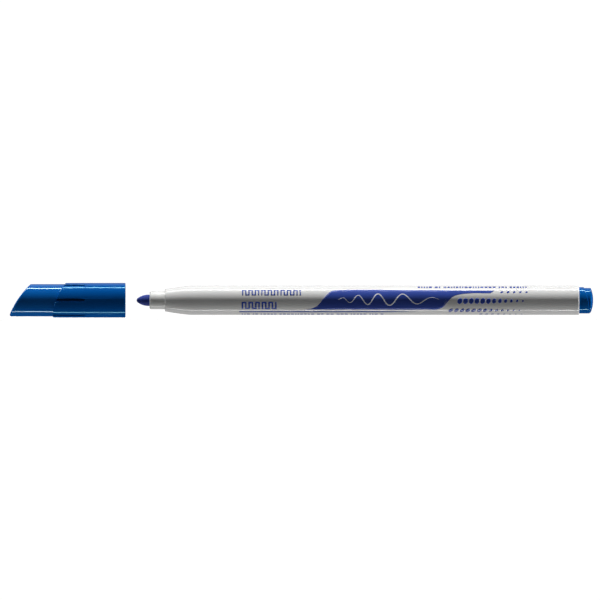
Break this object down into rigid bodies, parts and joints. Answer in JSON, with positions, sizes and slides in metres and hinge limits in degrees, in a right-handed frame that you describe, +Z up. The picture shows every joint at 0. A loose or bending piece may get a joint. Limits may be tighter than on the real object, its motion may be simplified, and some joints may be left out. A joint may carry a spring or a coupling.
{
  "type": "felt tip marker",
  "caption": "Slim felt tip marker: bullet nib, round white barrel with a tapered front, blue end plug, and a blue push-on cap with breathing slots and an oblique end, drawn off the nib.",
  "frame": {"origin": "on the marker's axis, inside the straight part of the barrel, at the middle of the whole length with the cap drawn off", "axes": "+X along the marker from the cap's tip to the end plug, the nib points to -X; +Z up; the cap's oblique end leans back towards +Z"},
  "size_m": [0.175, 0.0104, 0.0104],
  "materials": {
    "barrel_white": "gloss",
    "holder_white": "gloss",
    "nib_felt": "matte",
    "reservoir_fibre": "matte",
    "reservoir_film": "gloss",
    "plug_blue": "gloss",
    "sleeve_blue": "satin",
    "tip_blue": "gloss",
    "seal_soft": "matte",
    "print_ink": "satin"
  },
  "bodies": {
    "pen": {"barrel": "barrel_white", "nib_holder": "holder_white", "nib": "nib_felt", "reservoir_core": "reservoir_fibre", "reservoir_film": "reservoir_film", "end_plug": "plug_blue"},
    "cap": {"cap_sleeve": "sleeve_blue", "cap_tip": "tip_blue", "cap_seal": "seal_soft"}
  },
  "joints": [
    {"name": "cap_slide", "type": "slide", "parent": "pen", "child": "cap", "axis": [1, 0, 0], "range_m": [-0.015, 0.0311]}
  ]
}
